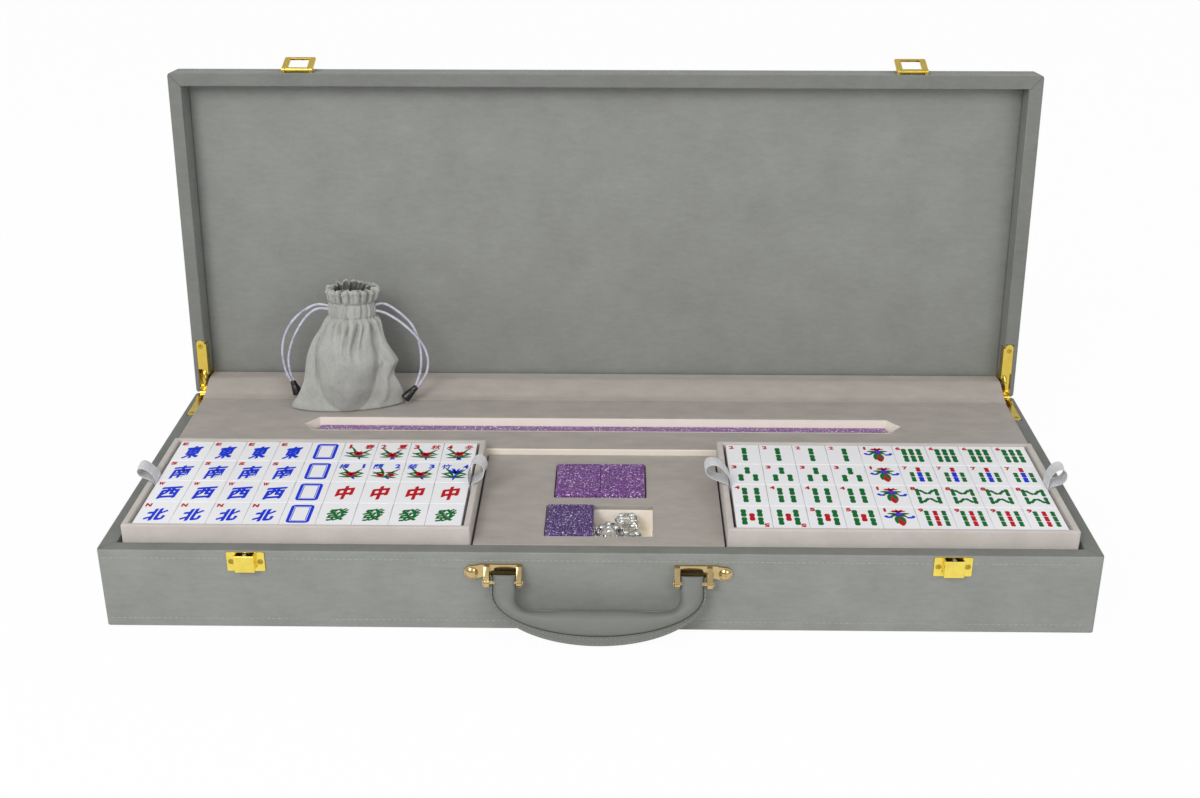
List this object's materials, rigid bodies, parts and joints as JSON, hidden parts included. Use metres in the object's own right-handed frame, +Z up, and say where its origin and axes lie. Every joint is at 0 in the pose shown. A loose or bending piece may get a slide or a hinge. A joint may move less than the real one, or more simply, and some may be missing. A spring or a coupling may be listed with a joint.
{
  "type": "mahjong set case",
  "caption": "Wrapped hinged case with tile trays, rack slot, centre wells, two sprung latches and a carrying handle, shown open with its mahjong set.",
  "frame": {"origin": "middle of the base's underside, which stands on the table", "axes": "+X along the case and the hinge line, +Y from the handle side to the hinges, +Z up"},
  "size_m": [0.75, 0.3748, 0.3645],
  "materials": {
    "case_leather": "grained leatherette, matt",
    "panel_leather": "grained leatherette over foam, matt",
    "lining": "soft lining cloth",
    "insert_cloth": "soft lining cloth",
    "cream_board": "smooth cream paper cloth",
    "bottom_board": "leatherette",
    "foam": "dense foam",
    "brass": "polished",
    "champagne": "polished champagne gold",
    "steel": "plain",
    "tile_white": "polished white with coloured faces",
    "glitter_purple": "purple glitter under a clear coat",
    "glitter_dark": "dark purple glitter under a clear coat",
    "ribbon": "satin",
    "velvet": "grey velvet",
    "cord": "satin cord",
    "plug": "satin black",
    "dice_clear": "clear with silver pips"
  },
  "bodies": {
    "base": {"base_frame": "case_leather", "base_bottom": "bottom_board", "riser_pads": "foam", "rear_deck": "lining", "rack_slot_liner": "cream_board", "centre_insert": "insert_cloth", "spare_tile_well": "cream_board", "dice_well": "cream_board", "hinge_cloth": "lining", "hinge_leaf_base_left": "brass", "hinge_leaf_base_right": "brass", "hinge_pins": "brass", "hinge_screws_base": "brass", "catch_plate_left": "brass", "catch_plate_right": "brass", "catch_springs": "steel", "catch_screws": "brass", "handle_bracket_left": "champagne", "handle_bracket_right": "champagne", "handle_pins": "champagne", "handle_rivets": "champagne", "drawstring_bag": "velvet", "drawcords": "cord", "cord_ends": "plug"},
    "lid": {"lid_shell": "case_leather", "lid_panel": "panel_leather", "hinge_leaf_lid_left": "brass", "hinge_leaf_lid_right": "brass", "hinge_screws_lid": "brass", "hasp_plate_left": "brass", "hasp_plate_right": "brass", "hasp_pins": "brass", "hasp_screws": "brass"},
    "left_hasp": {"hasp_left": "brass"},
    "right_hasp": {"hasp_right": "brass"},
    "left_nose": {"catch_nose_left": "brass"},
    "right_nose": {"catch_nose_right": "brass"},
    "handle": {"handle_grip": "case_leather", "handle_backing": "case_leather"},
    "lower_tray_left": {"tray_lower_left": "lining", "tiles_lower_left": "tile_white", "ribbons_lower_left": "ribbon"},
    "lower_tray_right": {"tray_lower_right": "lining", "tiles_lower_right": "tile_white", "ribbons_lower_right": "ribbon"},
    "upper_tray_left": {"tray_upper_left": "lining", "tiles_upper_left": "tile_white", "ribbons_upper_left": "ribbon"},
    "upper_tray_right": {"tray_upper_right": "lining", "tiles_upper_right": "tile_white", "ribbons_upper_right": "ribbon"},
    "spares": {"spare_tiles": "glitter_purple"},
    "dealer": {"dealer_block": "glitter_dark"},
    "dice_set": {"dice": "dice_clear"},
    "bottom_rack": {"rack_1": "glitter_purple"},
    "second_rack": {"rack_2": "glitter_purple"},
    "third_rack": {"rack_3": "glitter_purple"},
    "top_rack": {"rack_4": "glitter_purple"}
  },
  "joints": [
    {"name": "lid_hinge", "type": "hinge", "parent": "base", "child": "lid", "pos_m": [0, 0.145, 0.06615], "axis": [-1, 0, 0], "range_deg": [-94.55, 0], "deforming": ["hinge_cloth", "drawstring_bag", "drawcords", "cord_ends", "ribbons_upper_left", "ribbons_upper_right"]},
    {"name": "hasp_left_swing", "type": "hinge", "parent": "lid", "child": "left_hasp", "pos_m": [-0.2633, 0.17155, 0.35756], "axis": [-1, 0, 0], "range_deg": [-158, 0]},
    {"name": "hasp_right_swing", "type": "hinge", "parent": "lid", "child": "right_hasp", "pos_m": [0.2633, 0.17155, 0.35756], "axis": [-1, 0, 0], "range_deg": [-158, 0]},
    {"name": "catch_left_lift", "type": "slide", "parent": "base", "child": "left_nose", "axis": [0, 0, 1], "range_m": [0, 0.002], "stiffness_N_per_m": 100, "springref_m": -0.001},
    {"name": "catch_right_lift", "type": "slide", "parent": "base", "child": "right_nose", "axis": [0, 0, 1], "range_m": [0, 0.002], "stiffness_N_per_m": 100, "springref_m": -0.001},
    {"name": "handle_swing", "type": "hinge", "parent": "base", "child": "handle", "pos_m": [0, -0.1535, 0.0453], "axis": [-1, 0, 0], "range_deg": [0, 110]},
    {"name": "lower_tray_left_lift", "type": "slide", "parent": "base", "child": "lower_tray_left", "axis": [0, 0, 1], "range_m": [0, 0.05]},
    {"name": "lower_tray_right_lift", "type": "slide", "parent": "base", "child": "lower_tray_right", "axis": [0, 0, 1], "range_m": [0, 0.05]},
    {"name": "upper_tray_left_lift", "type": "slide", "parent": "lower_tray_left", "child": "upper_tray_left", "axis": [0, 0, 1], "range_m": [0, 0.05]},
    {"name": "upper_tray_right_lift", "type": "slide", "parent": "lower_tray_right", "child": "upper_tray_right", "axis": [0, 0, 1], "range_m": [0, 0.05]},
    {"name": "spare_tiles_lift", "type": "slide", "parent": "base", "child": "spares", "axis": [0, 0, 1], "range_m": [0, 0.04]},
    {"name": "dealer_block_lift", "type": "slide", "parent": "base", "child": "dealer", "axis": [0, 0, 1], "range_m": [0, 0.04]},
    {"name": "dice_lift", "type": "slide", "parent": "base", "child": "dice_set", "axis": [0, 0, 1], "range_m": [0, 0.04]},
    {"name": "rack_1_lift", "type": "slide", "parent": "base", "child": "bottom_rack", "axis": [0, 0, 1], "range_m": [0, 0.06]},
    {"name": "rack_2_lift", "type": "slide", "parent": "bottom_rack", "child": "second_rack", "axis": [0, 0, 1], "range_m": [0, 0.03]},
    {"name": "rack_3_lift", "type": "slide", "parent": "second_rack", "child": "third_rack", "axis": [0, 0, 1], "range_m": [0, 0.03]},
    {"name": "rack_4_lift", "type": "slide", "parent": "third_rack", "child": "top_rack", "axis": [0, 0, 1], "range_m": [0, 0.03]}
  ]
}
